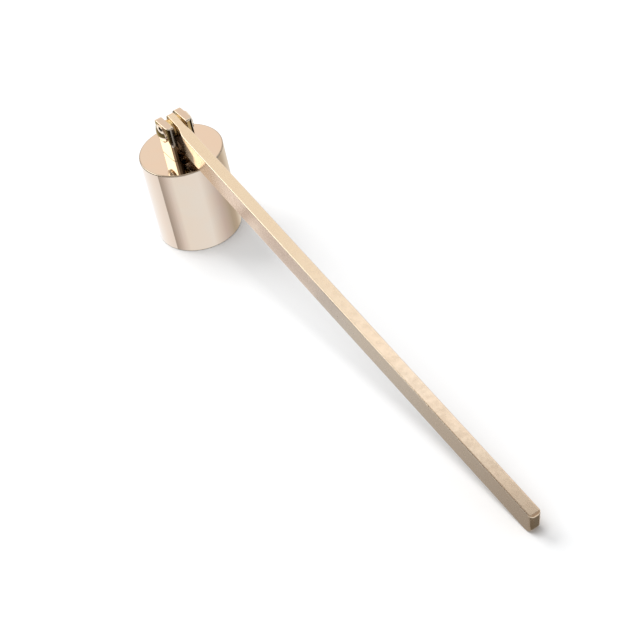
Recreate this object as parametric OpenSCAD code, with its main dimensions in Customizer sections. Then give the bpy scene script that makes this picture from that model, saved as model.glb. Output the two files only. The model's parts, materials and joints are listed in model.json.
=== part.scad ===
// Candle snuffer: a round bell under a U-shaped yoke, and a long flat bar that swings on the
// yoke's pivot. The bell stands on its mouth. The bar leans down along +X until its far end
// rests on the same surface. The origin is on the bell's axis, in the plane of its mouth.

/* [Bell] */
// Outer diameter of the bell
bell_d = 30; // [26:0.5:36]
// Height of the bell, from its mouth to its flat top
bell_h = 34; // [30:0.5:40]
// Thickness of the bell's side wall
bell_wall = 1; // [0.8:0.1:1.5]
// Thickness of the bell's flat top
bell_top = 1.2; // [1:0.1:1.6]
// Radius of the inner corner between the wall and the top
bell_fillet = 3.2; // [3:0.1:5]

/* [Yoke] */
// Length of the yoke along the bar
yoke_x = 10.4; // [9.4:0.1:11]
// Width of the yoke across both ears
yoke_y = 10.4; // [10:0.1:11]
// Height of the ears above the bell
yoke_h = 13.9; // [13.6:0.1:15]
// Width of the slot between the ears
slot_w = 5; // [5:0.1:5.4]
// Thickness of the web under the slot
web_t = 2.8; // [2.6:0.1:3]
// Radius of the ears' outer upright corners
ear_corner_r = 1.8; // [1:0.1:2]
// Radius of the ears' top corner on the side away from the bar
ear_back_r = 2.5; // [1:0.1:3]
// Radius of the ears' top corner on the bar's side
ear_front_r = 0.6; // [0.4:0.1:1.5]

/* [Pivot] */
// Height of the pivot above the bell's top
pivot_h = 10; // [10:0.1:10.2]
// Outer diameter of the pivot barrel
barrel_d = 3; // [2.8:0.1:3.2]
// Diameter of the screw inside the barrel
pivot_screw_d = 2; // [1.6:0.1:2]
// Radius of the domed heads
head_r = 3.5; // [3:0.1:3.6]
// Thickness of the domed heads
head_t = 1.6; // [1.2:0.1:1.8]
// Radial play of the bar and the washers on the barrel
pivot_play = 0.05; // [0.03:0.01:0.08]

/* [Washers] */
// Thickness of each washer beside the bar
washer_t = 0.75; // [0.65:0.05:0.75]
// Outer radius of those washers
washer_r = 3.5; // [3:0.1:3.5]

/* [Bar] */
// Length of the bar from the pivot to its far end
bar_l = 201; // [150:0.5:240]
// Width of the bar
bar_w = 4.3; // [4:0.1:4.6]
// Height of the bar's section
bar_t = 9; // [8:0.1:9.2]
// Thickness of the tongue between the washers
tongue_w = 2.65; // [2.4:0.05:2.65]
// How far the tongue reaches behind the pivot
tongue_back = 3.6; // [3.2:0.1:4]
// Radius of the tongue's upper and lower corners behind the pivot
tongue_r = 1.6; // [0.5:0.1:2]
// Height of the pivot above the middle of the bar's section
pivot_rise = 0.6; // [0:0.1:0.8]
// Distance from the pivot to where the shoulders start
shoulder_start = 3.6; // [3.6:0.1:5]
// Distance from the pivot to where the full width is reached
shoulder_end = 9.6; // [8:0.1:12]
// Radius of the bar's long edges
bar_edge_r = 0.4; // [0.2:0.1:0.8]
// Radius of the upright corners at the far end
bar_end_r = 1.5; // [0.5:0.1:1.9]
// Radius of the far end's upper edge
bar_tip_r = 1; // [0.3:0.1:2]
// Radius of the far end's lower edge
bar_heel_r = 3; // [0.5:0.1:3.5]

/* [Yoke screw] */
// Diameter of the screw that holds the yoke from inside the bell
yoke_screw_d = 4; // [3.5:0.1:4]
// Radius of its head
yoke_screw_head_r = 3.8; // [3.4:0.1:4.2]
// Thickness of its head
yoke_screw_head_t = 1.4; // [1.3:0.1:1.5]
// Thickness of the split lock washer
lock_washer_t = 0.8; // [0.6:0.1:0.9]

/* [Hidden] */
$fn = 96;

champagne = [0.88, 0.79, 0.67];
satin_champagne = [0.84, 0.75, 0.61];
steel = [0.62, 0.62, 0.63];
brass = [0.78, 0.64, 0.40];

// Cutting tools run this far past the faces that they cut.
past = 1;
// Radial play of pieces that are fixed in their holes.
fixed_play = 0.02;

bell_r = bell_d / 2;
bell_bore_r = bell_r - bell_wall;
bell_ceiling = bell_h - bell_top;
slot_floor = bell_h + web_t;
pivot_z = bell_h + pivot_h;

// The tongue is pushed towards +Y, because two washers lie on its -Y side and one on the other.
tongue_gap = (slot_w - 3 * washer_t - tongue_w) / 2;
tongue_y0 = -slot_w / 2 + 2 * washer_t + tongue_gap;
tongue_y1 = tongue_y0 + tongue_w;

// The barrel stops short of the screw's head, and the screw stops short of the barrel's end.
barrel_tip_y = -yoke_y / 2 + 0.3;
barrel_hole_y = yoke_y / 2 - 1.6;
pivot_screw_tip_y = barrel_hole_y - 0.4;

yoke_screw_seat = bell_ceiling - lock_washer_t;
yoke_screw_tip = slot_floor - 0.5;
yoke_hole_top = slot_floor - 0.3;

// The bar's slope, at which the rounded lower edge of its far end touches the plane z = 0.
heel_x = bar_l - bar_heel_r;
heel_z = bar_t / 2 + pivot_rise - bar_heel_r;
bar_slope = asin((pivot_z - bar_heel_r) / norm([heel_x, heel_z])) - atan2(heel_z, heel_x);

// Rectangle centred on the origin with four round corners.
module round_rectangle(size_x, size_y, r) {
    square([size_x, size_y - 2 * r], center = true);
    square([size_x - 2 * r, size_y], center = true);
    for (sx = [-1, 1], sy = [-1, 1])
        translate([sx * (size_x / 2 - r), sy * (size_y / 2 - r)])
            circle(r = r);
}

// Places what is drawn along +Z so that it runs along +Y through the pivot.
module along_pivot(y) {
    translate([0, y, pivot_z])
        rotate([-90, 0, 0])
            children();
}

// Flat ring around the pivot, from the given y towards +Y.
module pivot_washer(y) {
    color(brass)
        along_pivot(y)
            difference() {
                cylinder(r = washer_r, h = washer_t);
                translate([0, 0, -past])
                    cylinder(r = barrel_d / 2 + pivot_play, h = washer_t + 2 * past);
            }
}

// Round head with a short upright edge and a domed face, standing on z = 0.
module domed_head() {
    edge_t = head_t / 4;
    dome_t = head_t - edge_t;
    dome_r = (head_r * head_r + dome_t * dome_t) / (2 * dome_t);
    intersection() {
        cylinder(r = head_r, h = head_t);
        translate([0, 0, head_t - dome_r])
            sphere(r = dome_r);
    }
}

// Half of the bell's section: the wall and the top, with a round inner corner.
module bell_section() {
    difference() {
        square([bell_r, bell_h]);
        translate([-past, -past])
            square([bell_bore_r + past, bell_ceiling - bell_fillet + past]);
        translate([-past, -past])
            square([bell_bore_r - bell_fillet + past, bell_ceiling + past]);
        translate([bell_bore_r - bell_fillet, bell_ceiling - bell_fillet])
            circle(r = bell_fillet);
    }
}

module bell_shell() {
    color(champagne)
        difference() {
            rotate_extrude()
                bell_section();
            translate([0, 0, bell_ceiling - past])
                cylinder(r = yoke_screw_d / 2 + pivot_play, h = bell_top + 2 * past);
        }
}

// Side outline of the ears: upright sides, and two round top corners.
module ear_outline() {
    half = yoke_x / 2;
    translate([-half, 0])
        square([yoke_x, yoke_h - ear_back_r]);
    translate([-half + ear_back_r, 0])
        square([yoke_x - ear_back_r - ear_front_r, yoke_h]);
    square([half, yoke_h - ear_front_r]);
    translate([-half + ear_back_r, yoke_h - ear_back_r])
        circle(r = ear_back_r);
    translate([half - ear_front_r, yoke_h - ear_front_r])
        circle(r = ear_front_r);
}

module yoke() {
    color(champagne)
        difference() {
            intersection() {
                translate([0, 0, bell_h])
                    linear_extrude(height = yoke_h)
                        round_rectangle(yoke_x, yoke_y, ear_corner_r);
                translate([0, yoke_y / 2 + past, bell_h])
                    rotate([90, 0, 0])
                        linear_extrude(height = yoke_y + 2 * past)
                            ear_outline();
            }
            translate([-yoke_x / 2 - past, -slot_w / 2, slot_floor])
                cube([yoke_x + 2 * past, slot_w, yoke_h]);
            along_pivot(-yoke_y / 2 - past)
                cylinder(r = barrel_d / 2 + fixed_play, h = yoke_y + 2 * past);
            translate([0, 0, bell_h - past])
                cylinder(r = yoke_screw_d / 2 + fixed_play, h = yoke_hole_top - bell_h + past);
        }
}

module yoke_screw() {
    recess_w = yoke_screw_d / 5;
    recess_l = yoke_screw_head_r * 1.1;
    recess_depth = yoke_screw_head_t * 0.6;
    color(steel)
        difference() {
            union() {
                translate([0, 0, yoke_screw_seat - yoke_screw_head_t])
                    cylinder(r = yoke_screw_head_r, h = yoke_screw_head_t);
                translate([0, 0, yoke_screw_seat])
                    cylinder(r = yoke_screw_d / 2, h = yoke_screw_tip - yoke_screw_seat);
            }
            for (turn = [0, 90])
                translate([0, 0, yoke_screw_seat - yoke_screw_head_t])
                    rotate([0, 0, turn])
                        cube([recess_l, recess_w, 2 * recess_depth], center = true);
        }
}

module lock_washer() {
    split_w = 0.6;
    color(steel)
        translate([0, 0, yoke_screw_seat])
            difference() {
                cylinder(r = yoke_screw_head_r - 0.2, h = lock_washer_t);
                translate([0, 0, -past])
                    cylinder(r = yoke_screw_d / 2 + pivot_play, h = lock_washer_t + 2 * past);
                translate([0, -split_w / 2, -past])
                    cube([yoke_screw_head_r + past, split_w, lock_washer_t + 2 * past]);
            }
}

module pivot_barrel() {
    color(champagne)
        difference() {
            union() {
                along_pivot(yoke_y / 2)
                    domed_head();
                along_pivot(barrel_tip_y)
                    cylinder(r = barrel_d / 2, h = yoke_y / 2 - barrel_tip_y);
            }
            along_pivot(barrel_tip_y - past)
                cylinder(r = pivot_screw_d / 2 + fixed_play, h = barrel_hole_y - barrel_tip_y + past);
        }
}

module pivot_screw() {
    color(champagne) {
        translate([0, -yoke_y / 2, pivot_z])
            rotate([90, 0, 0])
                domed_head();
        along_pivot(-yoke_y / 2)
            cylinder(r = pivot_screw_d / 2, h = pivot_screw_tip_y + yoke_y / 2);
    }
}

module washer_outer_left() {
    pivot_washer(-slot_w / 2);
}

module washer_inner_left() {
    pivot_washer(-slot_w / 2 + washer_t);
}

module washer_right() {
    pivot_washer(slot_w / 2 - washer_t);
}

// Eases from 0 to 1 with level ends.
function ease(t) = t * t * (3 - 2 * t);

// One shoulder in plan, from the tongue's side at y0 to the bar's side at y1.
function shoulder(y0, y1, steps = 8) = [
    for (i = [0:steps])
        let (t = i / steps)
            [shoulder_start + (shoulder_end - shoulder_start) * t, y0 + (y1 - y0) * ease(t)]
];

// The bar seen from above, with the pivot at the origin.
module bar_plan() {
    half = bar_w / 2;
    left = shoulder(tongue_y0, -half);
    right = shoulder(tongue_y1, half);
    right_reversed = [for (i = [len(right) - 1:-1:0]) right[i]];
    polygon(concat([[-tongue_back, tongue_y0]], left, [[bar_l - bar_end_r, -half]],
                   [[bar_l - bar_end_r, half]], right_reversed, [[-tongue_back, tongue_y1]]));
    translate([bar_l - shoulder_end, 0])
        round_rectangle(2 * shoulder_end, bar_w, bar_end_r);
}

// The bar seen from the side, with equal rounds behind the pivot and two different ones at the
// far end.
module bar_side() {
    half = bar_t / 2;
    translate([shoulder_start - tongue_back, 0])
        round_rectangle(2 * shoulder_start, bar_t, tongue_r);
    translate([0, -half])
        square([bar_l - bar_heel_r, bar_t]);
    translate([0, bar_heel_r - half])
        square([bar_l, bar_t - bar_heel_r - bar_tip_r]);
    translate([0, bar_heel_r - half])
        square([bar_l - bar_tip_r, bar_t - bar_heel_r]);
    translate([bar_l - bar_heel_r, bar_heel_r - half])
        circle(r = bar_heel_r);
    translate([bar_l - bar_tip_r, half - bar_tip_r])
        circle(r = bar_tip_r);
}

// The bar along +X from the pivot, which lies above the middle of its section.
module level_bar() {
    translate([0, 0, -pivot_rise])
        intersection() {
            translate([0, 0, -bar_t])
                linear_extrude(height = 2 * bar_t)
                    bar_plan();
            translate([0, bar_w, 0])
                rotate([90, 0, 0])
                    linear_extrude(height = 2 * bar_w)
                        bar_side();
            translate([-tongue_back - past, 0, 0])
                rotate([90, 0, 90])
                    linear_extrude(height = bar_l + tongue_back + 2 * past)
                        round_rectangle(bar_w, bar_t, bar_edge_r);
        }
}

module handle_bar() {
    color(satin_champagne)
        translate([0, 0, pivot_z])
            rotate([0, bar_slope, 0])
                difference() {
                    level_bar();
                    translate([0, bar_w, 0])
                        rotate([90, 0, 0])
                            cylinder(r = barrel_d / 2 + pivot_play, h = 2 * bar_w);
                }
}

bell_shell();
yoke();
yoke_screw();
lock_washer();
pivot_barrel();
pivot_screw();
washer_outer_left();
washer_inner_left();
washer_right();
handle_bar();
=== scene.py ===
"""Candle snuffer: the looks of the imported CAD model, its studio and its camera.

Every CAD node is replaced by a cleaner mesh of the same size with the small edge rounds, the
shank ends and the recess edges that the plated metal shows. All lengths are in metres.
"""

import json
import math

import bmesh
import bpy
from mathutils import Matrix, Vector


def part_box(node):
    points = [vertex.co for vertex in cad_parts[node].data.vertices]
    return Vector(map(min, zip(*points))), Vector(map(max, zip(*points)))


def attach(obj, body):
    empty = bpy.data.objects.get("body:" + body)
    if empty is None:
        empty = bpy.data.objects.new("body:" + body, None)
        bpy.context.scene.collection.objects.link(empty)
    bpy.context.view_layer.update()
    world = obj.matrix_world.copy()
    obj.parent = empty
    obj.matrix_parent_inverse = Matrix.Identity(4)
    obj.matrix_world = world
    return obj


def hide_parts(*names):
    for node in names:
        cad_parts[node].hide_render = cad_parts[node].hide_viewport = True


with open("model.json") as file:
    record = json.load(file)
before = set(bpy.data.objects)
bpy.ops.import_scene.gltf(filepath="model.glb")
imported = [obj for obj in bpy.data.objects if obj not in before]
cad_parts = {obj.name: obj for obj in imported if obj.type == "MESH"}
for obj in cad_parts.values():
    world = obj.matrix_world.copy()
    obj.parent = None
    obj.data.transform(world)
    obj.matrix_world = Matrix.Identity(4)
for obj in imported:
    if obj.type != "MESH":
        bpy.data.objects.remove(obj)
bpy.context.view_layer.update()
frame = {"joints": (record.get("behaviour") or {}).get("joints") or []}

MM = 0.001
BELL_BODY = "bell"
HANDLE_BODY = "handle"

# ---------------------------------------------------------------- sizes from the CAD model
_, bell_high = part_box("bell_shell")
_, yoke_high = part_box("yoke")
barrel_low, barrel_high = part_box("pivot_barrel")
_, screw_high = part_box("pivot_screw")
fixing_low, fixing_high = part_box("yoke_screw")
split_low, split_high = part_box("lock_washer")

PIVOT_Z = frame["joints"][0]["pos_m"][2]
BELL_R = bell_high.x
BELL_H = bell_high.z
YOKE_HALF_X = yoke_high.x
YOKE_HALF_Y = yoke_high.y
YOKE_TOP = yoke_high.z
HEAD_R = screw_high.x
HEAD_Y = barrel_high.y

# Sizes inside the CAD solids, which their boxes don't give. They repeat part.scad's values.
BELL_WALL = 1 * MM
BELL_TOP = 1.2 * MM
BELL_FILLET = 3.2 * MM
SLOT_HALF = 2.5 * MM
SLOT_FLOOR = BELL_H + 2.8 * MM
EAR_CORNER_R = 1.8 * MM
EAR_BACK_R = 2.5 * MM
EAR_FRONT_R = 0.6 * MM
BARREL_R = 1.5 * MM
BARREL_BORE_R = 1.02 * MM
BARREL_BORE_END = 3.6 * MM
PIVOT_SCREW_R = 1 * MM
HEAD_EDGE_SHARE = 0.25
PIVOT_PLAY = 0.05 * MM
FIXED_PLAY = 0.02 * MM
YOKE_SCREW_R = 2 * MM
YOKE_SCREW_SEAT = BELL_H - BELL_TOP - 0.8 * MM
YOKE_HOLE_TOP = SLOT_FLOOR - 0.3 * MM
RECESS_HALF_L = 2.09 * MM
RECESS_HALF_W = 0.4 * MM
RECESS_DEPTH = 0.84 * MM
SPLIT_HALF = 0.3 * MM
BAR_L = 201 * MM
BAR_HALF_W = 2.15 * MM
BAR_HALF_T = 4.5 * MM
PIVOT_RISE = 0.6 * MM
TONGUE_BACK = 3.6 * MM
TONGUE_CORNER_R = 1.6 * MM
TONGUE_Y0 = -0.95 * MM
TONGUE_Y1 = 1.7 * MM
SHOULDER_START = 3.6 * MM
SHOULDER_END = 9.6 * MM
BAR_END_R = 1.5 * MM
BAR_TIP_R = 1 * MM
BAR_HEEL_R = 3 * MM

# Small edge rounds, which catch the light along the metal's edges.
BELL_TOP_EDGE_R = 0.38 * MM
BELL_RIM_R = 0.3 * MM
YOKE_EDGE_R = 0.28 * MM
YOKE_FOOT_R = 0.12 * MM
BAR_EDGE_R = 0.4 * MM
TONGUE_EDGE_R = 0.25 * MM
WASHER_EDGE_R = 0.12 * MM
HEAD_EDGE_R = 0.15 * MM
# From a round to the extra point that keeps the flat face beside it flat.
SUPPORT = 0.12 * MM


# ---------------------------------------------------------------- mesh helpers
def arc(centre_a, centre_b, radius, start, end, steps):
    """Points on a circle in a plane, from one angle to another in degrees."""
    points = []
    for i in range(steps + 1):
        angle = math.radians(start + (end - start) * i / steps)
        points.append((centre_a + radius * math.cos(angle), centre_b + radius * math.sin(angle)))
    return points


def mesh_piece(name, vertices, faces, wear=None, painted_dark_reflection=None):
    """Makes an object at the origin from vertices and faces, with outward normals.

    Wear and the painted dark reflection are one value for each vertex, which the materials read.
    """
    mesh = bpy.data.meshes.new(name)
    mesh.from_pydata(vertices, [], faces)
    mesh.validate()
    for label, values in (("edge_wear", wear), ("painted_dark_reflection", painted_dark_reflection)):
        if values:
            attribute = mesh.attributes.new(label, "FLOAT", "POINT")
            attribute.data.foreach_set("value", values)
    edit = bmesh.new()
    edit.from_mesh(mesh)
    bmesh.ops.recalc_face_normals(edit, faces=edit.faces)
    edit.to_mesh(mesh)
    edit.free()
    piece = bpy.data.objects.new(name, mesh)
    bpy.context.scene.collection.objects.link(piece)
    return piece


def lathe(name, profile, segments, place=Matrix.Identity(4), edge_painted_dark_reflection=0.0):
    """Turns a closed profile of (radius, height, wear) points about the local Z axis.

    The second attribute, a painted dark reflection, is the wear times the last argument.
    """
    vertices = []
    wear = []
    rings = []
    for radius, height, worn_here in profile:
        first = len(vertices)
        count = segments if radius > 1e-9 else 1
        for i in range(count):
            angle = 2 * math.pi * i / segments
            local = Vector((radius * math.cos(angle), radius * math.sin(angle), height))
            vertices.append(place @ local)
            wear.append(worn_here)
        rings.append([first + i % count for i in range(segments)])
    faces = []
    for this, after in zip(rings, rings[1:] + rings[:1]):
        for i in range(segments):
            j = (i + 1) % segments
            corners = [this[i], this[j], after[j], after[i]]
            face = list(dict.fromkeys(corners))
            if len(face) > 2:
                faces.append(face)
    return mesh_piece(name, vertices, faces, wear, [edge_painted_dark_reflection * value for value in wear])


def loft(name, sections, wear, place=Matrix.Identity(4), painted_dark_reflection=None):
    """Joins closed sections with equal numbers of points, and closes the two ends."""
    count = len(sections[0])
    vertices = [place @ Vector(point) for section in sections for point in section]
    faces = []
    for k in range(len(sections) - 1):
        for i in range(count):
            j = (i + 1) % count
            base = k * count
            faces.append([base + i, base + j, base + count + j, base + count + i])
    last = (len(sections) - 1) * count
    faces.append(list(range(count))[::-1])
    faces.append([last + i for i in range(count)])
    return mesh_piece(name, vertices, faces, wear, painted_dark_reflection)


def cutter(name, vertices, faces):
    """A hidden mesh for one boolean cut."""
    piece = mesh_piece(name, vertices, faces)
    piece.hide_render = True
    return piece


def round_cutter(radius, start, end, axis):
    """A many-sided bar along Y or Z for cutting a round hole."""
    segments = 64
    vertices = []
    for height in (start, end):
        for i in range(segments):
            angle = 2 * math.pi * (i + 0.5) / segments
            a, b = radius * math.cos(angle), radius * math.sin(angle)
            vertices.append((a, height, PIVOT_Z + b) if axis == "Y" else (a, b, height))
    faces = []
    for i in range(segments):
        j = (i + 1) % segments
        faces.append([i, j, segments + j, segments + i])
    faces.append(list(range(segments))[::-1])
    faces.append(list(range(segments, 2 * segments)))
    return cutter("cut_round", vertices, faces)


def block_cutter(half_x, half_y, low, high):
    """A box about the Z axis for cutting a recess."""
    corners = [(-half_x, -half_y), (half_x, -half_y), (half_x, half_y), (-half_x, half_y)]
    vertices = [(x, y, z) for z in (low, high) for x, y in corners]
    faces = [[3, 2, 1, 0], [4, 5, 6, 7], [0, 1, 5, 4], [1, 2, 6, 5], [2, 3, 7, 6], [3, 0, 4, 7]]
    return cutter("cut_block", vertices, faces)


def cut(piece, *tools):
    """Cuts the tools from the piece and removes them."""
    for tool in tools:
        change = piece.modifiers.new("cut", "BOOLEAN")
        change.operation = "DIFFERENCE"
        change.solver = "EXACT"
        change.object = tool
    apply_modifiers(piece)
    for tool in tools:
        mesh = tool.data
        bpy.data.objects.remove(tool)
        bpy.data.meshes.remove(mesh)


def apply_modifiers(piece):
    """Replaces the piece's mesh by the result of its modifiers."""
    graph = bpy.context.evaluated_depsgraph_get()
    result = bpy.data.meshes.new_from_object(piece.evaluated_get(graph))
    old = piece.data
    piece.modifiers.clear()
    piece.data = result
    bpy.data.meshes.remove(old)
    result.name = piece.name


def shade(piece, sharp_degrees=40):
    """Smooth shading with flat faces kept flat, and true corners kept sharp."""
    mesh = piece.data
    mesh.shade_smooth()
    mesh.set_sharp_from_angle(angle=math.radians(sharp_degrees))
    weighted = piece.modifiers.new("weighted_normals", "WEIGHTED_NORMAL")
    weighted.mode = "FACE_AREA"
    weighted.weight = 100
    weighted.keep_sharp = True
    weighted.use_face_influence = False


def finish_piece(piece, body, slot, material, *nodes):
    """Shading, material, body and CAD nodes of a finished piece."""
    shade(piece)
    piece.data.materials.clear()
    piece.data.materials.append(material)
    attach(piece, body)
    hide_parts(*nodes)
    return piece


def bar_slope():
    """The slope at which the far end's lower round touches the floor."""
    heel_x = BAR_L - BAR_HEEL_R
    heel_z = BAR_HALF_T + PIVOT_RISE - BAR_HEEL_R
    reach = math.hypot(heel_x, heel_z)
    return math.asin((PIVOT_Z - BAR_HEEL_R) / reach) - math.atan2(heel_z, heel_x)


# ---------------------------------------------------------------- material helpers
class Nodes:
    """Short calls for building one material's nodes."""

    def __init__(self, name):
        self.material = bpy.data.materials.new(name)
        self.material.use_nodes = True
        self.tree = self.material.node_tree
        self.shader = self.tree.nodes["Principled BSDF"]
        self.position = self.make("ShaderNodeTexCoord").outputs["Object"]

    def make(self, kind, **values):
        """A new node with its settings."""
        node = self.tree.nodes.new(kind)
        for key, value in values.items():
            setattr(node, key, value)
        return node

    def link(self, source, target):
        """Joins an output to an input."""
        self.tree.links.new(source, target)

    def stretched(self, scale):
        """Object coordinates multiplied by a scale on each axis."""
        node = self.make("ShaderNodeVectorMath", operation="MULTIPLY")
        node.inputs[1].default_value = scale
        self.link(self.position, node.inputs[0])
        return node.outputs[0]

    def along(self, direction):
        """How far a place is from the pivot in one direction."""
        node = self.make("ShaderNodeVectorMath", operation="DOT_PRODUCT")
        node.inputs[1].default_value = direction
        self.link(self.position, node.inputs[0])
        return self.maths("SUBTRACT", node.outputs["Value"], PIVOT_Z * direction[2])

    def noise(self, per_metre, detail=3.0, rough=0.5, vector=None):
        """Soft noise with so many patches in a metre."""
        node = self.make("ShaderNodeTexNoise")
        node.inputs["Scale"].default_value = per_metre
        node.inputs["Detail"].default_value = detail
        node.inputs["Roughness"].default_value = rough
        self.link(vector or self.position, node.inputs["Vector"])
        return node.outputs["Fac"]

    def ranged(self, value, low, high, to_low, to_high):
        """A value carried from one range to another, with soft ends."""
        node = self.make("ShaderNodeMapRange")
        node.interpolation_type = "SMOOTHSTEP"
        node.inputs["From Min"].default_value = low
        node.inputs["From Max"].default_value = high
        node.inputs["To Min"].default_value = to_low
        node.inputs["To Max"].default_value = to_high
        self.link(value, node.inputs["Value"])
        return node.outputs["Result"]

    def maths(self, operation, first, second):
        """One sum of two sockets or numbers."""
        node = self.make("ShaderNodeMath", operation=operation)
        for socket, value in zip(node.inputs, (first, second)):
            if isinstance(value, (int, float)):
                socket.default_value = value
            else:
                self.link(value, socket)
        return node.outputs[0]

    def mixed(self, factor, first, second):
        """Mixes two colours, or a colour socket and a colour."""
        node = self.make("ShaderNodeMix", data_type="RGBA")
        self.link(factor, node.inputs["Factor"])
        for socket, value in zip((node.inputs[6], node.inputs[7]), (first, second)):
            if isinstance(value, tuple):
                socket.default_value = (*value, 1.0)
            else:
                self.link(value, socket)
        return node.outputs[2]

    def bump(self, height, strength, distance, below=None):
        """A normal with fine relief, on top of the one below."""
        node = self.make("ShaderNodeBump")
        node.inputs["Strength"].default_value = strength
        node.inputs["Distance"].default_value = distance
        self.link(height, node.inputs["Height"])
        if below:
            self.link(below, node.inputs["Normal"])
        return node.outputs["Normal"]

    def attribute(self, name):
        """A value that the mesh carries on its vertices."""
        node = self.make("ShaderNodeAttribute")
        node.attribute_name = name
        return node.outputs["Fac"]


def polished_plating():
    """Mirror-polished champagne gold, with faint smudges, hairline scratches and slight waves."""
    n = Nodes("polished_plating")
    n.shader.inputs["Metallic"].default_value = 1.0
    tint = n.ranged(n.noise(140, 2), 0.35, 0.65, 0.0, 1.0)
    colour = n.mixed(tint, POLISHED_TINT, POLISHED_TINT_WARM)
    # The attribute's dark tint is a painted dark reflection, with painted shade in the yoke's slot and
    # at its foot.
    n.link(n.mixed(n.attribute("painted_dark_reflection"), colour, PAINTED_DARK_REFLECTION_TINT), n.shader.inputs["Base Color"])
    smudge = n.ranged(n.noise(220, 4, 0.6), 0.5, 0.72, 0.0, 0.05)
    grain = n.ranged(n.noise(2600, 2), 0.3, 0.7, 0.0, 0.02)
    rough = n.maths("ADD", n.maths("ADD", smudge, grain), 0.035)
    n.link(rough, n.shader.inputs["Roughness"])
    hairs = n.noise(900, 2, 0.7, n.stretched((1.0, 0.06, 0.35)))
    hairlines = n.ranged(hairs, 0.60, 0.66, 0.0, 1.0)
    waves = n.noise(160, 1)
    under = n.bump(waves, 0.5, 0.00002)
    n.link(n.bump(hairlines, 0.08, 0.00001, under), n.shader.inputs["Normal"])
    return n.material


def painted_reflection_patch(n):
    """How dark the bar's left side is painted, low beside the pivot: a reflection in the photo."""
    slope = bar_slope()
    along = n.along((math.cos(slope), 0.0, -math.sin(slope)))
    across = n.along((math.sin(slope), 0.0, math.cos(slope)))
    near = n.ranged(along, *PATCH_END, 1.0, 0.0)
    fall = n.ranged(along, *PATCH_FALL, 0.0, PATCH_FALL_BY)
    low = n.ranged(n.maths("ADD", across, fall), *PATCH_TOP, PATCH_DARKNESS, 0.0)
    left = n.ranged(n.along((0.0, 1.0, 0.0)), *PATCH_SIDE, 1.0, 0.0)
    return n.maths("MULTIPLY", n.maths("MULTIPLY", near, low), left)


def satin_plating():
    """Satin champagne gold: a fine blasted grain drawn out a little along the bar."""
    n = Nodes("satin_plating")
    n.shader.inputs["Metallic"].default_value = 1.0
    patches = n.ranged(n.noise(55, 3), 0.35, 0.65, 0.0, 1.0)
    colour = n.mixed(patches, SATIN_TINT, SATIN_TINT_WARM)
    wear = n.ranged(n.attribute("edge_wear"), 0.2, 1.0, 0.0, 0.6)
    plated = n.mixed(wear, colour, SATIN_TINT_WORN)
    # The patch mixed in here is a painted dark reflection low on the bar's left side.
    n.link(n.mixed(painted_reflection_patch(n), plated, PAINTED_DARK_REFLECTION_TINT), n.shader.inputs["Base Color"])
    grain = n.noise(3800, 3, 0.6, n.stretched((0.45, 1.0, 1.0)))
    mottle = n.ranged(n.noise(420, 4, 0.6), 0.35, 0.68, -0.03, 0.05)
    fine = n.ranged(grain, 0.3, 0.7, -0.02, 0.02)
    polish = n.ranged(n.attribute("edge_wear"), 0.2, 1.0, 0.0, -0.12)
    rough = n.maths("ADD", n.maths("ADD", mottle, fine), n.maths("ADD", polish, SATIN_ROUGHNESS))
    n.link(rough, n.shader.inputs["Roughness"])
    streaks = n.noise(1500, 3, 0.6, n.stretched((0.05, 1.0, 1.0)))
    under = n.bump(streaks, 0.25, 0.00001)
    n.link(n.bump(grain, 0.35, 0.00001, under), n.shader.inputs["Normal"])
    return n.material


def plain_metal(name, tint, tint_aged, roughness):
    """Turned brass or steel: fine tool marks, and patches that have dulled."""
    n = Nodes(name)
    n.shader.inputs["Metallic"].default_value = 1.0
    dull = n.ranged(n.noise(900, 4, 0.6), 0.42, 0.7, 0.0, 1.0)
    n.link(n.mixed(dull, tint, tint_aged), n.shader.inputs["Base Color"])
    marks = n.noise(7000, 3, 0.6)
    rough = n.maths("ADD", n.ranged(marks, 0.3, 0.7, -0.04, 0.06), roughness)
    n.link(n.maths("ADD", rough, n.ranged(dull, 0.0, 1.0, 0.0, 0.12)), n.shader.inputs["Roughness"])
    n.link(n.bump(marks, 0.3, 0.00001), n.shader.inputs["Normal"])
    return n.material


# The metals' tints. The dark tint is a painted dark reflection and painted shade, put where the
# photo has dark reflections, such as the yoke's slot. It was tuned to the photo's colours.
POLISHED_TINT = (0.775, 0.680, 0.560)
POLISHED_TINT_WARM = (0.785, 0.672, 0.545)
PAINTED_DARK_REFLECTION_TINT = (0.060, 0.034, 0.014)
SATIN_TINT = (0.800, 0.640, 0.482)
SATIN_TINT_WARM = (0.806, 0.634, 0.470)
SATIN_TINT_WORN = (0.850, 0.740, 0.600)
SATIN_ROUGHNESS = 0.24

# The painted dark reflection on the bar, from the pivot: where it ends along the bar, where its
# upper limit falls and by how much, that limit, and its side. Pairs are the two ends of a soft change.
PATCH_END = (14.5 * MM, 17 * MM)
PATCH_FALL = (9 * MM, 17 * MM)
PATCH_FALL_BY = 3 * MM
PATCH_TOP = (1.5 * MM, 3 * MM)
PATCH_SIDE = (-1.2 * MM, -0.4 * MM)
PATCH_DARKNESS = 0.95

BRASS_TINT = (0.790, 0.590, 0.290)
BRASS_TINT_AGED = (0.560, 0.390, 0.170)
STEEL_TINT = (0.560, 0.560, 0.565)
STEEL_TINT_AGED = (0.400, 0.395, 0.390)

polished = polished_plating()
satin = satin_plating()
brass = plain_metal("washer_brass", BRASS_TINT, BRASS_TINT_AGED, 0.22)
steel = plain_metal("steel", STEEL_TINT, STEEL_TINT_AGED, 0.3)


# ---------------------------------------------------------------- the bell
# How dark the bell's edge rounds are painted, a painted dark reflection along the edges: from
# plain plating, 0, to the full dark tint, 1.
BELL_EDGE_PAINTED_DARK_REFLECTION = 0.35


def worn(points):
    """Profile points on an edge, where the plating is polished by wear."""
    return [(a, b, 1.0) for a, b in points]


def clean(*points):
    """Profile points on a flat face, without wear."""
    return [(a, b, 0.0) for a, b in points]


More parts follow.
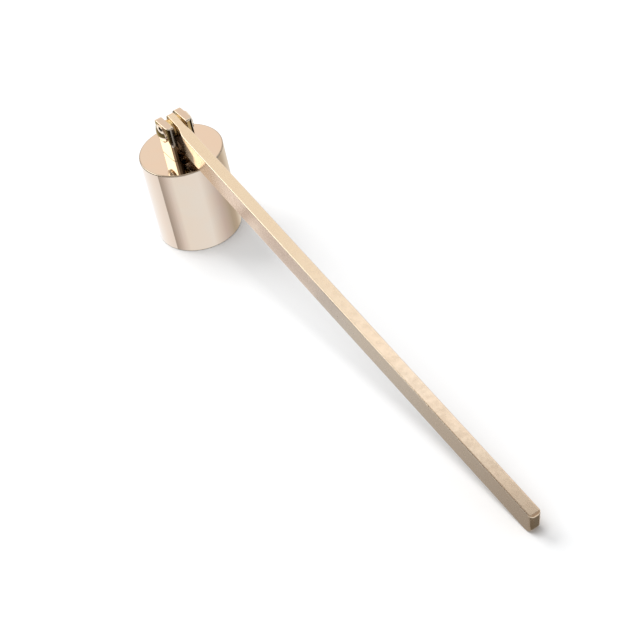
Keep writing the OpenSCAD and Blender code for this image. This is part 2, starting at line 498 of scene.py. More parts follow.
def build_bell():
    """The bell's wall and top in one section, turned about its axis."""
    bore = BELL_R - BELL_WALL
    ceiling = BELL_H - BELL_TOP
    hole = YOKE_SCREW_R + PIVOT_PLAY
    rim = BELL_RIM_R
    edge = BELL_TOP_EDGE_R
    profile = clean((hole, BELL_H), (hole, ceiling))
    profile += clean((bore - BELL_FILLET - SUPPORT, ceiling))
    profile += clean(*arc(bore - BELL_FILLET, ceiling - BELL_FILLET, BELL_FILLET, 90, 0, 10))
    profile += clean((bore, rim + SUPPORT))
    profile += worn(arc(bore + rim, rim, rim, 180, 270, 5))
    profile += worn(arc(BELL_R - rim, rim, rim, 270, 360, 5))
    profile += clean((BELL_R, rim + SUPPORT), (BELL_R, BELL_H - edge - SUPPORT))
    profile += worn(arc(BELL_R - edge, BELL_H - edge, edge, 0, 90, 5))
    profile += clean((BELL_R - edge - SUPPORT, BELL_H))
    piece = lathe("bell", profile, 192, edge_painted_dark_reflection=BELL_EDGE_PAINTED_DARK_REFLECTION)
    return finish_piece(piece, BELL_BODY, "polished_plating", polished, "bell_shell")


# ---------------------------------------------------------------- the yoke
# How dark the yoke's places are painted, from 0 for plain plating to 1 for the full dark tint:
# a painted dark reflection, with painted shade in the slot and along the foot.
PAINTED_DARK_SLOT = 0.95
PAINTED_DARK_RIGHT_END = 0.10
PAINTED_DARK_LEFT_END = 0.95
PAINTED_DARK_LEFT_END_TOP = 0.55
PAINTED_DARK_FOOT = 0.8
PAINTED_DARK_TOP = 0.12
LEFT_END_TOP_H = 6 * MM


def round_drop(distance, radius):
    """How far a round of this radius has fallen back at a distance from its end."""
    if distance >= radius:
        return 0.0
    return radius - math.sqrt(max(0.0, radius * radius - (radius - distance) ** 2))


def stations(radii, steps):
    """Distances from an end, close together where rounds of these radii start."""
    found = {0.0}
    for radius in radii:
        for i in range(1, steps + 1):
            found.add(radius * (1 - math.cos(math.radians(90 * i / steps))))
    kept = []
    for distance in sorted(found):
        if not kept or distance - kept[-1] > 0.004 * MM:
            kept.append(distance)
    return kept


def yoke_section(x):
    """The U of the yoke at one x, from its left foot over both ears to its right foot."""
    from_end = YOKE_HALF_X - abs(x)
    outer = YOKE_HALF_Y - round_drop(from_end, EAR_CORNER_R)
    end_drop = round_drop(from_end, YOKE_EDGE_R)
    slot = SLOT_HALF + end_drop
    floor = SLOT_FLOOR - end_drop
    foot = BELL_H + round_drop(from_end, YOKE_FOOT_R)
    ear_r = EAR_BACK_R if x < 0 else EAR_FRONT_R
    top = YOKE_TOP - round_drop(from_end, ear_r)
    edge = min(YOKE_EDGE_R, (outer - slot) / 2.2)
    foot_r = YOKE_FOOT_R
    left = worn(arc(-outer + foot_r, foot + foot_r, foot_r, 270, 180, 2))
    left += clean((-outer, foot + foot_r + SUPPORT), (-outer, top - edge - SUPPORT))
    left += worn(arc(-outer + edge, top - edge, edge, 180, 90, 4))
    left += clean((-outer + edge + SUPPORT / 2, top), (-slot - edge - SUPPORT / 2, top))
    left += worn(arc(-slot - edge, top - edge, edge, 90, 0, 4))
    left += clean((-slot, top - edge - SUPPORT), (-slot, floor + edge + SUPPORT))
    left += clean(*arc(-slot + edge, floor + edge, edge, 180, 270, 3))
    left += clean((-slot + edge + SUPPORT, floor))
    right = [(-y, z, wear) for y, z, wear in left[::-1]]
    return left + right


def yoke_painted_dark_reflection(x, y, z):
    """How dark a place on the yoke is painted, after the dark reflections in the photo."""
    below_top = z < YOKE_TOP - 1.5 * YOKE_EDGE_R
    at_end = YOKE_HALF_X - abs(x) < 1.01 * YOKE_EDGE_R
    if abs(y) < SLOT_HALF + 0.01 * MM and below_top:
        return PAINTED_DARK_SLOT
    if at_end and below_top:
        if y > 0:
            return PAINTED_DARK_RIGHT_END
        return PAINTED_DARK_LEFT_END_TOP if z > YOKE_TOP - LEFT_END_TOP_H else PAINTED_DARK_LEFT_END
    if z < BELL_H + 1.5 * YOKE_FOOT_R:
        return PAINTED_DARK_FOOT
    return PAINTED_DARK_TOP if z > YOKE_TOP - 0.01 * MM else 0.0


def build_yoke():
    """A loft of U sections along X, with holes for the pivot and for the screw from below."""
    near = stations((YOKE_EDGE_R, EAR_CORNER_R, EAR_FRONT_R), 8)
    far = stations((YOKE_EDGE_R, EAR_CORNER_R, EAR_BACK_R), 8)
    xs = [-YOKE_HALF_X + d for d in far] + [YOKE_HALF_X - d for d in near[::-1]]
    sections = []
    wear = []
    painted_dark_reflection = []
    for x in xs:
        at_end = YOKE_HALF_X - abs(x) < YOKE_EDGE_R
        section = yoke_section(x)
        sections.append([(x, y, z) for y, z, _ in section])
        wear += [1.0 if at_end else point[2] for point in section]
        # Each point's painted dark reflection, with painted shade in the slot and at the foot.
        painted_dark_reflection += [yoke_painted_dark_reflection(x, y, z) for y, z, _ in section]
    piece = loft("yoke_piece", sections, wear, painted_dark_reflection=painted_dark_reflection)
    cut(
        piece,
        round_cutter(BARREL_R + FIXED_PLAY, -2 * YOKE_HALF_Y, 2 * YOKE_HALF_Y, "Y"),
        round_cutter(YOKE_SCREW_R + FIXED_PLAY, BELL_H - 1 * MM, YOKE_HOLE_TOP, "Z"),
    )
    return finish_piece(piece, BELL_BODY, "polished_plating", polished, "yoke")


# ---------------------------------------------------------------- the pivot
def head_profile(seat, top):
    """A domed head from its apex to its seat, as (radius, height, wear)."""
    thickness = top - seat
    edge = thickness * HEAD_EDGE_SHARE
    rise = thickness - edge
    dome_r = (HEAD_R * HEAD_R + rise * rise) / (2 * rise)
    slope = math.degrees(math.asin((HEAD_R - HEAD_EDGE_R) / dome_r))
    points = [(0.0, top)]
    points += arc(0.0, top - dome_r, dome_r, 90 - slope / 14, 90 - slope, 14)
    rim_z = points[-1][1] - HEAD_EDGE_R * 0.8
    corner = arc(HEAD_R - HEAD_EDGE_R, rim_z, HEAD_EDGE_R, 90 - slope, 0, 4)
    foot = arc(HEAD_R - HEAD_EDGE_R, seat + HEAD_EDGE_R, HEAD_EDGE_R, 0, -90, 3)
    return clean(*points[:-1]) + worn(corner) + worn(foot)


def build_pivot_barrel():
    """Domed head on the right ear, and the barrel through both ears."""
    place = Matrix.Translation((0, 0, PIVOT_Z)) @ Matrix.Rotation(math.radians(-90), 4, "X")
    tip = barrel_low.y
    chamfer = 0.15 * MM
    profile = head_profile(YOKE_HALF_Y, HEAD_Y)
    profile += clean((BARREL_R, YOKE_HALF_Y), (BARREL_R, tip + chamfer + SUPPORT))
    profile += worn([(BARREL_R, tip + chamfer), (BARREL_R - chamfer, tip)])
    profile += clean((BARREL_BORE_R, tip), (BARREL_BORE_R, BARREL_BORE_END), (0.0, BARREL_BORE_END))
    piece = lathe("pivot_barrel_piece", profile, 96, place)
    return finish_piece(piece, BELL_BODY, "polished_plating", polished, "pivot_barrel")


def build_pivot_screw():
    """Domed head on the left ear, and the shank inside the barrel."""
    place = Matrix.Translation((0, 0, PIVOT_Z)) @ Matrix.Rotation(math.radians(90), 4, "X")
    tip = -screw_high.y
    chamfer = 0.2 * MM
    profile = head_profile(YOKE_HALF_Y, HEAD_Y)
    profile += clean((PIVOT_SCREW_R, YOKE_HALF_Y), (PIVOT_SCREW_R, tip + chamfer + SUPPORT))
    profile += worn([(PIVOT_SCREW_R, tip + chamfer), (PIVOT_SCREW_R - chamfer, tip)])
    profile += clean((0.0, tip))
    piece = lathe("pivot_screw_piece", profile, 96, place)
    return finish_piece(piece, BELL_BODY, "polished_plating", polished, "pivot_screw")


def ring_profile(inner, outer, low, high, edge):
    """The section of a flat washer with its four edges rounded."""
    profile = worn(arc(inner + edge, low + edge, edge, 180, 270, 3))
    profile += clean((inner + edge + SUPPORT, low), (outer - edge - SUPPORT, low))
    profile += worn(arc(outer - edge, low + edge, edge, 270, 360, 3))
    profile += clean((outer, (low + high) / 2))
    profile += worn(arc(outer - edge, high - edge, edge, 0, 90, 3))
    profile += clean((outer - edge - SUPPORT, high), (inner + edge + SUPPORT, high))
    profile += worn(arc(inner + edge, high - edge, edge, 90, 180, 3))
    return profile


def build_washer(node):
    """One brass washer beside the bar's tongue."""
    low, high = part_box(node)
    place = Matrix.Translation((0, 0, PIVOT_Z)) @ Matrix.Rotation(math.radians(-90), 4, "X")
    profile = ring_profile(BARREL_R + PIVOT_PLAY, high.x, low.y, high.y, WASHER_EDGE_R)
    piece = lathe(node + "_piece", profile, 96, place)
    return finish_piece(piece, BELL_BODY, "washer_brass", brass, node)


# ---------------------------------------------------------------- the screw inside the bell
def build_yoke_screw():
    """Pan-head screw with a cross recess, up through the bell's top."""
    low = fixing_low.z
    tip = fixing_high.z
    head = fixing_high.x
    edge = 0.4 * MM
    chamfer = 0.3 * MM
    profile = clean((0.0, low), (head - edge - SUPPORT, low))
    profile += worn(arc(head - edge, low + edge, edge, 270, 360, 5))
    profile += clean((head, YOKE_SCREW_SEAT), (YOKE_SCREW_R, YOKE_SCREW_SEAT))
    profile += clean((YOKE_SCREW_R, tip - chamfer), (YOKE_SCREW_R - chamfer, tip), (0.0, tip))
    piece = lathe("yoke_screw_piece", profile, 96)
    recess_low = low - 1 * MM
    recess_top = low + RECESS_DEPTH
    cut(
        piece,
        block_cutter(RECESS_HALF_L, RECESS_HALF_W, recess_low, recess_top),
        block_cutter(RECESS_HALF_W, RECESS_HALF_L, recess_low, recess_top),
    )
    return finish_piece(piece, BELL_BODY, "steel", steel, "yoke_screw")


def build_lock_washer():
    """A split ring with rounded edges, bent round the screw's shank."""
    outer = -split_low.x
    inner = YOKE_SCREW_R + PIVOT_PLAY
    edge = 0.1 * MM
    section = ring_profile(inner, outer, split_low.z, split_high.z, edge)
    start = math.asin(SPLIT_HALF / inner)
    steps = 90
    sections = []
    wear = []
    for k in range(steps + 1):
        angle = start + (2 * math.pi - 2 * start) * k / steps
        sections.append([(r * math.cos(angle), r * math.sin(angle), z) for r, z, _ in section])
        wear += [point[2] for point in section]
    piece = loft("lock_washer_piece", sections, wear)
    return finish_piece(piece, BELL_BODY, "steel", steel, "lock_washer")


# ---------------------------------------------------------------- the bar
def ease(t):
    """From 0 to 1 with level ends."""
    t = min(1.0, max(0.0, t))
    return t * t * (3 - 2 * t)


def bar_section(x):
    """The bar's rounded rectangle at a distance from the pivot, as (y, z, wear) points."""
    into = ease((x - SHOULDER_START) / (SHOULDER_END - SHOULDER_START))
    y0 = TONGUE_Y0 + (-BAR_HALF_W - TONGUE_Y0) * into
    y1 = TONGUE_Y1 + (BAR_HALF_W - TONGUE_Y1) * into
    z0 = -BAR_HALF_T
    z1 = BAR_HALF_T
    back = x + TONGUE_BACK
    ahead = BAR_L - x
    y0 += round_drop(back, TONGUE_EDGE_R) + round_drop(ahead, BAR_END_R)
    y1 -= round_drop(back, TONGUE_EDGE_R) + round_drop(ahead, BAR_END_R)
    z0 += round_drop(back, TONGUE_CORNER_R) + round_drop(ahead, BAR_HEEL_R)
    z1 -= round_drop(back, TONGUE_CORNER_R) + round_drop(ahead, BAR_TIP_R)
    edge = TONGUE_EDGE_R + (BAR_EDGE_R - TONGUE_EDGE_R) * into
    corners = ((y1, z1, 1, 1, 0), (y0, z1, -1, 1, 90), (y0, z0, -1, -1, 180), (y1, z0, 1, -1, 270))
    points = []
    for y, z, side_y, side_z, start in corners:
        centre_y = y - side_y * edge
        centre_z = z - side_z * edge
        round_points = arc(centre_y, centre_z, edge, start, start + 90, 6)
        before, after = corner_supports(round_points, start)
        points += clean(before) + worn(round_points) + clean(after)
    return [(y, z - PIVOT_RISE, wear) for y, z, wear in points]


def corner_supports(points, start):
    """A point just before and just after a corner's round, on the flat faces."""
    angle = math.radians(start)
    towards = (math.cos(angle), math.sin(angle))
    across = (-math.sin(angle), math.cos(angle))
    first = points[0]
    last = points[-1]
    before = (first[0] - across[0] * SUPPORT, first[1] - across[1] * SUPPORT)
    after = (last[0] - towards[0] * SUPPORT, last[1] - towards[1] * SUPPORT)
    return before, after


def build_bar():
    """The long bar: a loft along its length, cut for the pivot, and leaning on its far end."""
    shoulder = [SHOULDER_START + (SHOULDER_END - SHOULDER_START) * i / 16 for i in range(17)]
    xs = [-TONGUE_BACK + d for d in stations((TONGUE_EDGE_R, TONGUE_CORNER_R), 8)]
    xs += [x for x in shoulder if x > xs[-1] + 0.01 * MM]
    xs += [SHOULDER_END + (BAR_L - SHOULDER_END - 8 * MM) * i / 24 for i in range(1, 25)]
    xs += [BAR_L - d for d in stations((BAR_END_R, BAR_TIP_R, BAR_HEEL_R), 12)[::-1]]
    place = Matrix.Translation((0, 0, PIVOT_Z)) @ Matrix.Rotation(bar_slope(), 4, "Y")
    sections = []
    wear = []
    for x in xs:
        section = bar_section(x)
        sections.append([(x, y, z) for y, z, _ in section])
        wear += [point[2] for point in section]
    piece = loft("handle", sections, wear, place)
    cut(piece, round_cutter(BARREL_R + PIVOT_PLAY, -2 * YOKE_HALF_Y, 2 * YOKE_HALF_Y, "Y"))
    return finish_piece(piece, HANDLE_BODY, "satin_plating", satin, "handle_bar")


# ---------------------------------------------------------------- the camera's place
CAMERA_AIM = Vector((0.07384, 0.00358, 0.0))
CAMERA_AZIMUTH = math.radians(-24.94)
CAMERA_ELEVATION = math.radians(41.417)
CAMERA_ROLL = math.radians(12.664)
CAMERA_DISTANCE = 0.672
CAMERA_LENS_MM = 112.5
CAMERA_SENSOR_MM = 36.0


def camera_back():
    """The direction from the aim to the camera."""
    flat = math.cos(CAMERA_ELEVATION)
    across = (flat * math.cos(CAMERA_AZIMUTH), flat * math.sin(CAMERA_AZIMUTH))
    return Vector((*across, math.sin(CAMERA_ELEVATION)))


def camera_place():
    """Where the camera stands."""
    return CAMERA_AIM + camera_back() * CAMERA_DISTANCE


# ---------------------------------------------------------------- the studio
FLOOR_COLOUR = (0.86, 0.865, 0.87)
FLOOR_REACH = 4.0
FLOOR_DROP = 0.05 * MM
FLOOR_GLOW_START = 0.35
FLOOR_GLOW_END = 1.6
FLOOR_GLOW_MOST = 0.6
SKY_COLOUR = (1.0, 1.0, 1.0)
SKY_STRENGTH = 0.60
BACKDROP_RADIUS = 3.9
TENT_RADIUS = 1.6


def glossy_only(thing):
    """Seen only in reflections: not by the camera, and giving the floor no light or shade.

    It is marked as stage, though it is neither a floor nor a backdrop.
    """
    thing.visible_camera = False
    thing.visible_diffuse = False
    thing.visible_shadow = False
    thing.visible_transmission = False
    thing.visible_volume_scatter = False


def emission(name):
    """A new material with one Emission shader: (material, its nodes, the shader's node)."""
    material = bpy.data.materials.new(name)
    material.use_nodes = True
    tree = material.node_tree
    tree.nodes.clear()
    light = tree.nodes.new("ShaderNodeEmission")
    output = tree.nodes.new("ShaderNodeOutputMaterial")
    tree.links.new(light.outputs[0], output.inputs[0])
    material.cycles.emission_sampling = "NONE"
    return material, tree, light


def build_floor():
    """A wide pale floor just under the object, which glows far away so that it has no horizon."""
    corners = ((-1, -1), (1, -1), (1, 1), (-1, 1))
    vertices = [(x * FLOOR_REACH, y * FLOOR_REACH, -FLOOR_DROP) for x, y in corners]
    floor = mesh_piece("floor", vertices, [[0, 1, 2, 3]])
    n = Nodes("floor")
    n.shader.inputs["Roughness"].default_value = 0.9
    n.shader.inputs["Specular IOR Level"].default_value = 0.0
    n.shader.inputs["Base Color"].default_value = (*FLOOR_COLOUR, 1.0)
    n.shader.inputs["Emission Color"].default_value = (*SKY_COLOUR, 1.0)
    away = n.make("ShaderNodeVectorMath", operation="LENGTH")
    n.link(n.position, away.inputs[0])
    glow = n.ranged(away.outputs["Value"], FLOOR_GLOW_START, FLOOR_GLOW_END, 0.0, FLOOR_GLOW_MOST)
    n.link(glow, n.shader.inputs["Emission Strength"])
    floor.data.materials.append(n.material)


def ball(name, radius, segments, rings):
    """A sphere round the origin."""
    edit = bmesh.new()
    bmesh.ops.create_uvsphere(edit, u_segments=segments, v_segments=rings, radius=radius)
    mesh = bpy.data.meshes.new(name)
    edit.to_mesh(mesh)
    edit.free()
    sphere = bpy.data.objects.new(name, mesh)
    bpy.context.scene.collection.objects.link(sphere)
    return sphere


def build_backdrop():
    """A white wall all round, far behind, which only the camera sees."""
    wall = ball("backdrop", BACKDROP_RADIUS, 48, 24)
    material, _, light = emission("backdrop")
    light.inputs["Color"].default_value = (*SKY_COLOUR, 1.0)
    light.inputs["Strength"].default_value = 1.0
    wall.data.materials.append(material)
    wall.visible_diffuse = False
    wall.visible_glossy = False
    wall.visible_shadow = False
    wall.visible_transmission = False


def towards_bright_way(tree):
    """How far a place on the tent lies in the bright direction: 0 against it, 1 along it."""
    place = tree.nodes.new("ShaderNodeTexCoord").outputs["Object"]
    unit = tree.nodes.new("ShaderNodeVectorMath")
    unit.operation = "NORMALIZE"
    tree.links.new(place, unit.inputs[0])
    towards = tree.nodes.new("ShaderNodeVectorMath")
    towards.operation = "DOT_PRODUCT"
    towards.inputs[1].default_value = Vector(TENT_BRIGHT_WAY).normalized()
    tree.links.new(unit.outputs[0], towards.inputs[0])
    spread = tree.nodes.new("ShaderNodeMapRange")
    spread.inputs["From Min"].default_value = -1.0
    spread.inputs["From Max"].default_value = 1.0
    tree.links.new(towards.outputs["Value"], spread.inputs["Value"])
    return spread.outputs["Result"]


def colour_ramp(tree, stops):
    """A soft ramp through (place, colour) stops."""
    ramp = tree.nodes.new("ShaderNodeValToRGB")
    ramp.color_ramp.interpolation = "EASE"
    elements = ramp.color_ramp.elements
    while len(elements) < len(stops):
        elements.new(0.5)
    for element, (place, colour) in zip(elements, stops):
        element.position = place
        element.color = (*colour, 1.0)
    return ramp


def build_tent():
    """A tent round the object, seen only in reflections: brightest behind it, dimmest at the sides."""
    tent = ball("tent", TENT_RADIUS, 64, 32)
    tent.data.shade_smooth()
    material, tree, light = emission("tent")
    ramp = colour_ramp(tree, TENT_STOPS)
    tree.links.new(towards_bright_way(tree), ramp.inputs["Fac"])
    tree.links.new(ramp.outputs["Color"], light.inputs["Color"])
    light.inputs["Strength"].default_value = 1.0
    tent.data.materials.append(material)
    glossy_only(tent)


def card_cover(tree, half_x, half_y, soft):
    """How solid a card is: 1 in its middle and 0 at its edges, over a soft share of its size."""
    place = tree.nodes.new("ShaderNodeTexCoord").outputs["Object"]
    split = tree.nodes.new("ShaderNodeSeparateXYZ")
    tree.links.new(place, split.inputs[0])
    fades = []
    for output, half in ((split.outputs["X"], half_x), (split.outputs["Y"], half_y)):
        size = tree.nodes.new("ShaderNodeMath")
        size.operation = "ABSOLUTE"
        tree.links.new(output, size.inputs[0])
        fade = tree.nodes.new("ShaderNodeMapRange")
        fade.interpolation_type = "SMOOTHSTEP"
        fade.inputs["From Min"].default_value = half
        fade.inputs["From Max"].default_value = half * (1 - soft)
        tree.links.new(size.outputs[0], fade.inputs["Value"])
        fades.append(fade.outputs["Result"])
    cover = tree.nodes.new("ShaderNodeMath")
    cover.operation = "MULTIPLY"
    tree.links.new(fades[0], cover.inputs[0])
    tree.links.new(fades[1], cover.inputs[1])
    return cover.outputs[0]


def build_card(name, centre, aim, half_x, half_y, colour, strength, soft):
    """A glowing or dark card that faces a point, with soft edges, seen only in reflections."""
    centre = Vector(centre)
    turn = (Vector(aim) - centre).to_track_quat("Z", "Y").to_matrix().to_4x4()
    corners = [(-half_x, -half_y, 0), (half_x, -half_y, 0), (half_x, half_y, 0), (-half_x, half_y, 0)]
    mesh = bpy.data.meshes.new(name)
    mesh.from_pydata(corners, [], [[0, 1, 2, 3]])
    card = bpy.data.objects.new(name, mesh)
    card.matrix_world = Matrix.Translation(centre) @ turn
    bpy.context.scene.collection.objects.link(card)
    material, tree, light = emission(name)
    light.inputs["Color"].default_value = (*colour, 1.0)
    light.inputs["Strength"].default_value = strength
    clear = tree.nodes.new("ShaderNodeBsdfTransparent")
    mix = tree.nodes.new("ShaderNodeMixShader")
    output = next(node for node in tree.nodes if node.type == "OUTPUT_MATERIAL")
    tree.links.new(card_cover(tree, half_x, half_y, soft), mix.inputs[0])
    tree.links.new(clear.outputs[0], mix.inputs[1])
    tree.links.new(light.outputs[0], mix.inputs[2])
    tree.links.new(mix.outputs[0], output.inputs[0])
    mesh.materials.append(material)
    glossy_only(card)


def between(stops, at):
    """The colour or value at a place in a list of (place, colour or value) stops."""
    for (a, first), (b, second) in zip(stops, stops[1:]):
        if a <= at <= b:
            t = (at - a) / (b - a)
            return tuple(p + (q - p) * t for p, q in zip(first, second))
    return stops[-1][1]


def build_mat(name, rows, height):
    """A glowing sheet of rows of (place, colour) points, seen only in reflections.

    A place without its own height gets the sheet's height.
    """
    across = len(rows[0])
    vertices = [(*place, height)[:3] for row in rows for place, _ in row]
    colours = [colour for row in rows for _, colour in row]
    faces = []
    for k in range(len(rows) - 1):
        for i in range(across - 1):
            base = k * across + i
            faces.append([base, base + 1, base + across + 1, base + across])
    mat = mesh_piece(name, vertices, faces)
    attribute = mat.data.attributes.new("glow", "FLOAT_COLOR", "POINT")
    attribute.data.foreach_set("color", [value for colour in colours for value in (*colour, 1.0)])
    material, tree, light = emission(name)
    glow = tree.nodes.new("ShaderNodeAttribute")
    glow.attribute_name = "glow"
    tree.links.new(glow.outputs["Color"], light.inputs["Color"])
    light.inputs["Strength"].default_value = 1.0
    mat.data.materials.append(material)
    glossy_only(mat)


def build_side_mat():
    """A painted reflection: a fan on the floor, worked out from the main camera so that it sees the
    photo's bands.
    """
    rows = []
    steps = range(SIDE_STOPS[0][0] + 2, SIDE_STOPS[-1][0], 3)
    for degrees in sorted({stop[0] for stop in SIDE_STOPS} | set(steps)):
        angle = math.radians(degrees)
        normal = Vector((math.cos(angle), math.sin(angle), 0))
        start = normal * (BELL_R + SIDE_MAT_GAP)
        sight = start + Vector((0, 0, BELL_H / 2)) - camera_place()
        away = sight.reflect(normal)
        end = start + Vector((away.x, away.y, 0)) * (BELL_H * SIDE_REACH_SHARE / -away.z)
        colour = between(SIDE_STOPS, degrees)
        rows.append([((start.x, start.y), colour), ((end.x, end.y), colour)])
    build_mat("side_mat", rows, SIDE_MAT_LIFT)


def build_bar_mat():
    """A painted reflection: a strip on the floor along the bar's left side, giving that side its slow
    fade.
    """
    rows = []
    for x, colour in BAR_STOPS:
        rows.append([((x * MM, BAR_MAT_LEFT), colour), ((x * MM, BAR_MAT_RIGHT), colour)])
    build_mat("bar_mat", rows, BAR_MAT_LIFT)


def build_side_flag():
    """A painted reflection: a sheet between the bar and the floor, which the bar's left side shows
    near the bell.
    """
    rows = []
    for x, colour in FLAG_STOPS:
        middle = FLAG_START_Z - FLAG_SLOPE * x * MM
        low = (x * MM, FLAG_Y, middle - FLAG_DOWN)
        high = (x * MM, FLAG_Y, middle + FLAG_UP)
        rows.append([(low, colour), (high, colour)])
    build_mat("side_flag", rows, 0)


def build_dark_ring():
    """A painted dark reflection: a band on the floor round the bell, beyond the fan, which the yoke
    and the heads show.
    """
    rows = []
    for degrees in range(RING_START, RING_END + 1, 5):
        angle = math.radians(degrees)
        across = (math.cos(angle) * MM, math.sin(angle) * MM)
        inner = between(RING_INNER, degrees)
        outer = between(RING_OUTER, degrees)
        reach = between(RING_REACH, degrees)[0]
        fade = between(RING_FADE, degrees)[0]
        stops = (
            (RING_NEAR, FLOOR_GLOW),
            (fade, inner),
            (RING_MIDDLE, inner),
            (reach, outer),
            (reach + RING_SOFT, FLOOR_GLOW),
        )
        rows.append([((radius * across[0], radius * across[1]), colour) for radius, colour in stops])
    build_mat("dark_ring", rows, RING_LIFT)


def build_end_mat():
    """A painted dark reflection: a patch on the floor before the bar's far end, which darkens its end
    face.
    """
    rows = []
    for x, colour in END_STOPS:
        rows.append([((x * MM, -END_MAT_HALF), colour), ((x * MM, END_MAT_HALF), colour)])
    build_mat("end_mat", rows, END_MAT_LIFT)


def build_sky():
    """Even white light from all round."""
    world = bpy.data.worlds.new("studio")
    world.use_nodes = True
    background = world.node_tree.nodes["Background"]
    background.inputs["Color"].default_value = (*SKY_COLOUR, 1.0)
    background.inputs["Strength"].default_value = SKY_STRENGTH
    bpy.context.scene.world = world


def build_light(name, place, size, power):
    """A square softbox that faces the object's middle, lights the floor and isn't seen itself."""
    data = bpy.data.lights.new(name, "AREA")
    data.shape = "SQUARE"
    data.size = size
    data.energy = power
    lamp = bpy.data.objects.new(name, data)
    lamp.location = place
    lamp.rotation_mode = "QUATERNION"
    lamp.rotation_quaternion = (MIDDLE - Vector(place)).to_track_quat("-Z", "Y")
    lamp.visible_camera = False
    lamp.visible_glossy = False
    bpy.context.scene.collection.objects.link(lamp)


# The bell's side shows a painted reflection: the fan on the floor round it. Each entry is a
# direction out from the bell's axis, in degrees, and the light that the side reflects to the camera
# there. The colours were read off the photo, as linear light divided by POLISHED_TINT.
SIDE_STOPS = (
    (-116, (1.16, 1.20, 1.30)),
    (-86, (1.13, 1.14, 1.20)),
    (-74, (1.07, 1.04, 1.08)),
    (-64.4, (1.00, 0.97, 1.00)),
    (-63.6, (0.47, 0.42, 0.40)),
    (-58, (0.60, 0.54, 0.53)),
    (-50, (0.85, 0.80, 0.82)),
    (-43, (0.99, 0.98, 1.00)),
    (-9, (0.99, 1.00, 1.05)),
    (0, (0.86, 0.83, 0.85)),
    (12, (0.68, 0.61, 0.62)),
    (28, (0.52, 0.46, 0.39)),
    (36, (0.57, 0.49, 0.41)),
    (48, (0.82, 0.75, 0.66)),
    (62, (0.84, 0.79, 0.72)),
)
SIDE_REACH_SHARE = 1.1
SIDE_MAT_GAP = 0.02 * MM

# The mats lie this far above z = 0, each on top of the one that it crosses.
RING_LIFT = 0.05 * MM
BAR_MAT_LIFT = 0.1 * MM
END_MAT_LIFT = 0.12 * MM
SIDE_MAT_LIFT = 0.15 * MM

# The dark ring shows in the yoke and in the pivot's heads. Its entries start with a direction out
# from the bell's axis, in degrees. NEAR, FADE, MIDDLE and REACH are distances from that axis in
# millimetres, and SOFT is how far the last change takes.
FLOOR_GLOW = (1.0, 1.0, 1.0)
DARK_GLOW = (0.030, 0.020, 0.010)
OLIVE_GLOW = (0.60, 0.48, 0.27)
RING_NEAR = 46
RING_MIDDLE = 80
RING_SOFT = 20
RING_START = -190
RING_END = 115
RING_INNER = (
    (-190, (0.90, 0.90, 0.88)),
    (-172, (0.62, 0.60, 0.50)),
    (-152, (0.48, 0.40, 0.20)),
    (-125, (0.22, 0.17, 0.07)),
    (-95, (0.16, 0.13, 0.06)),
    (-80, DARK_GLOW),
    (15, DARK_GLOW),
    (20, OLIVE_GLOW),
    (40, OLIVE_GLOW),
    (50, DARK_GLOW),
    (115, DARK_GLOW),
)
RING_FADE = ((-190, (64,)), (-95, (64,)), (-80, (50,)), (115, (50,)))
RING_OUTER = ((-190, FLOOR_GLOW), (-172, (0.60, 0.55, 0.42)), (-150, DARK_GLOW), (115, DARK_GLOW))
RING_REACH = ((-190, (85,)), (-170, (120,)), (-145, (220,)), (-95, (220,)), (-75, (81,)), (115, (81,)))

# The strip beside the bar: a distance along X in millimetres, and the light there.
BAR_STOPS = (
    (-10, (1.00, 1.00, 1.00)),
    (20, (0.78, 0.80, 0.82)),
    (60, (0.68, 0.72, 0.76)),
    (110, (0.60, 0.62, 0.64)),
    (150, (0.50, 0.50, 0.50)),
    (200, (0.38, 0.36, 0.34)),
)
BAR_MAT_LEFT = -30 * MM
BAR_MAT_RIGHT = 0 * MM

# The sheet beside the bar near the bell, and the patch before the bar's far end, in the same way.
FLAG_STOPS = (
    (40, (0.74, 0.70, 0.72)),
    (54, (0.60, 0.56, 0.58)),
    (75, (0.64, 0.65, 0.70)),
    (92, (0.64, 0.67, 0.73)),
)
FLAG_Y = -9.2 * MM
FLAG_START_Z = 25.9 * MM
FLAG_SLOPE = 0.19
FLAG_DOWN = 4 * MM
FLAG_UP = 8 * MM
END_STOPS = ((196.5, (0.16, 0.14, 0.11)), (203, (0.23, 0.20, 0.17)), (214, (0.8, 0.8, 0.8)))
END_MAT_HALF = 14 * MM

# Directions are from the object: the camera stands towards (0.68, -0.32, 0.66), so the tent's
# bright way is behind the object and above it. A stop's place is 0 against that way and 1 along it.
TENT_BRIGHT_WAY = (-0.75, 0.35, 0.55)
TENT_STOPS = (
    (0.0, (0.62, 0.55, 0.48)),
    (0.50, (0.40, 0.34, 0.29)),
    (0.78, (0.55, 0.47, 0.42)),
    (1.0, (1.06, 0.92, 0.83)),
)

# The lamps face this point.
MIDDLE = Vector((0.07, 0.0, 0.02))
TOP_LIGHT = {"place": (0.05, -0.25, 1.97), "size": 0.8, "power": 12.8}
LEFT_LIGHT = {"place": (-1.12, -0.36, 1.20), "size": 1.0, "power": 17.2}

# The left softbox shows in the ears' left sides and in the bar's upper left edge.
LEFT_SOFTBOX = {
    "centre": (-0.25, -0.28, 0.29),
    "aim": (0.0, 0.0, 0.03),
    "half_x": 0.235,
    "half_y": 0.17,
    "colour": (1.0, 0.99, 0.93),
    "strength": 2.5,
    "soft": 0.12,
}
# The top softbox shows in the bell's top and in the near part of the bar's top.
TOP_SOFTBOX = {
    "centre": (-0.07, 0.12, 0.34),
    "aim": (0.06, 0.0, 0.03),
    "half_x": 0.17,
    "half_y": 0.125,
    "colour": (1.0, 1.0, 0.93),
    "strength": 1.06,
    "soft": 0.2,
}
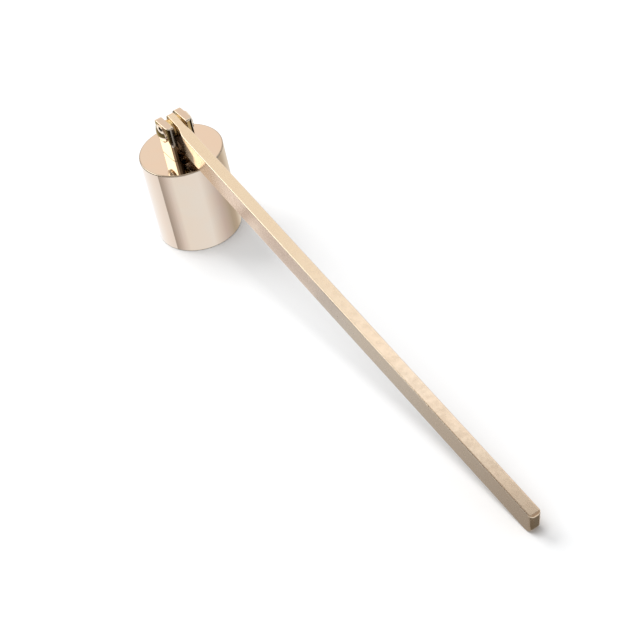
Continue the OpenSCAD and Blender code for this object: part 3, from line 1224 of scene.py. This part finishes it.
# The end softbox and the end flag show in the far part of the bar's top: light, then dark.
END_SOFTBOX = {
    "centre": (0.023, 0.150, 0.356),
    "aim": (0.1325, 0.049, 0.096),
    "half_x": 0.09,
    "half_y": 0.065,
    "colour": (1.0, 1.04, 1.09),
    "strength": 1.36,
    "soft": 0.5,
}
END_FLAG = {
    "centre": (0.137, 0.113, 0.4065),
    "aim": (0.247, 0.012, 0.146),
    "half_x": 0.085,
    "half_y": 0.055,
    "colour": (0.95, 1.0, 0.92),
    "strength": 0.09,
    "soft": 0.1,
}
# The left flag stands far out on the left and dims the tent there.
LEFT_FLAG = {
    "centre": (-0.45, -0.95, 0.42),
    "aim": (0.15, 0.0, 0.02),
    "half_x": 0.38,
    "half_y": 0.52,
    "colour": (1.0, 0.8, 0.6),
    "strength": 0.04,
    "soft": 0.2,
}


def build_studio():
    """The floor, the light, and everything that shows only in the metal's reflections.

    The tent, cards and mats were tuned until the main view's colours were near the photo's.
    """
    build_sky()
    build_floor()
    build_backdrop()
    build_tent()
    build_dark_ring()
    build_bar_mat()
    build_end_mat()
    build_side_mat()
    build_side_flag()
    build_light("top_light", **TOP_LIGHT)
    build_light("left_light", **LEFT_LIGHT)
    build_card("left_softbox", **LEFT_SOFTBOX)
    build_card("top_softbox", **TOP_SOFTBOX)
    build_card("end_softbox", **END_SOFTBOX)
    build_card("left_flag", **LEFT_FLAG)
    build_card("end_flag", **END_FLAG)


# ---------------------------------------------------------------- the camera
def build_camera():
    """The camera at the photo's viewing angle, with the photo's slight roll."""
    back = camera_back()
    ahead = -back
    right = ahead.cross(Vector((0, 0, 1))).normalized()
    down = ahead.cross(right)
    rolled_right = right * math.cos(CAMERA_ROLL) + down * math.sin(CAMERA_ROLL)
    rolled_down = down * math.cos(CAMERA_ROLL) - right * math.sin(CAMERA_ROLL)
    turn = Matrix((rolled_right, -rolled_down, back)).transposed().to_4x4()
    data = bpy.data.cameras.new("camera")
    data.lens = CAMERA_LENS_MM
    data.sensor_width = CAMERA_SENSOR_MM
    data.clip_start = 0.01
    data.clip_end = 20.0
    camera = bpy.data.objects.new("camera", data)
    camera.matrix_world = Matrix.Translation(camera_place()) @ turn
    bpy.context.scene.collection.objects.link(camera)
    bpy.context.scene.camera = camera


build_bell()
build_yoke()
build_pivot_barrel()
build_pivot_screw()
build_washer("washer_outer_left")
build_washer("washer_inner_left")
build_washer("washer_right")
build_yoke_screw()
build_lock_washer()
build_bar()
build_studio()
build_camera()
bpy.context.scene.view_settings.view_transform = "Standard"
